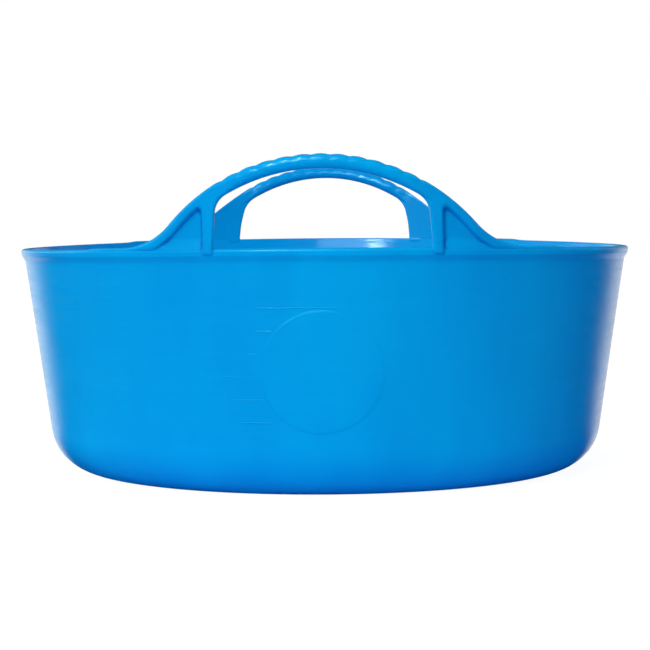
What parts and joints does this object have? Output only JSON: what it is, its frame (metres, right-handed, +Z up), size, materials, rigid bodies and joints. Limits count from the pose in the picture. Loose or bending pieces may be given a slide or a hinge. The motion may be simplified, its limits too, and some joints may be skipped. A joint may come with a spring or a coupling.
{
  "type": "flexible tub",
  "caption": "Shallow round flexible tub with a tapered wall, a banded rim and an arched, ridged carrying handle on webbed gussets at front and rear.",
  "frame": {"origin": "middle of the standing plane, under the centre of the bowl", "axes": "+Z up, the front handle at -Y and the rear handle at +Y, +X to the right in the picture"},
  "size_m": [0.4, 0.4216, 0.202],
  "materials": {
    "blue_polyethylene": "satin, as moulded, one bright blue all through"
  },
  "bodies": {
    "tub": {"floor_panel": "blue_polyethylene", "base_turn": "blue_polyethylene", "side_wall": "blue_polyethylene", "rim_band": "blue_polyethylene", "front_left_web": "blue_polyethylene", "front_left_flange": "blue_polyethylene", "front_right_web": "blue_polyethylene", "front_right_flange": "blue_polyethylene", "rear_left_web": "blue_polyethylene", "rear_left_flange": "blue_polyethylene", "rear_right_web": "blue_polyethylene", "rear_right_flange": "blue_polyethylene"},
    "front_handle": {"front_grip": "blue_polyethylene", "front_left_post": "blue_polyethylene", "front_right_post": "blue_polyethylene"},
    "rear_handle": {"rear_grip": "blue_polyethylene", "rear_left_post": "blue_polyethylene", "rear_right_post": "blue_polyethylene"}
  },
  "joints": [
    {"name": "front_handle_flex", "type": "hinge", "parent": "tub", "child": "front_handle", "pos_m": [0, -0.1813, 0.1473], "axis": [-1, 0, 0], "range_deg": [0, 30], "stiffness_Nm_per_rad": 1.6},
    {"name": "rear_handle_flex", "type": "hinge", "parent": "tub", "child": "rear_handle", "pos_m": [0, 0.1813, 0.1473], "axis": [1, 0, 0], "range_deg": [0, 30], "stiffness_Nm_per_rad": 1.6}
  ]
}
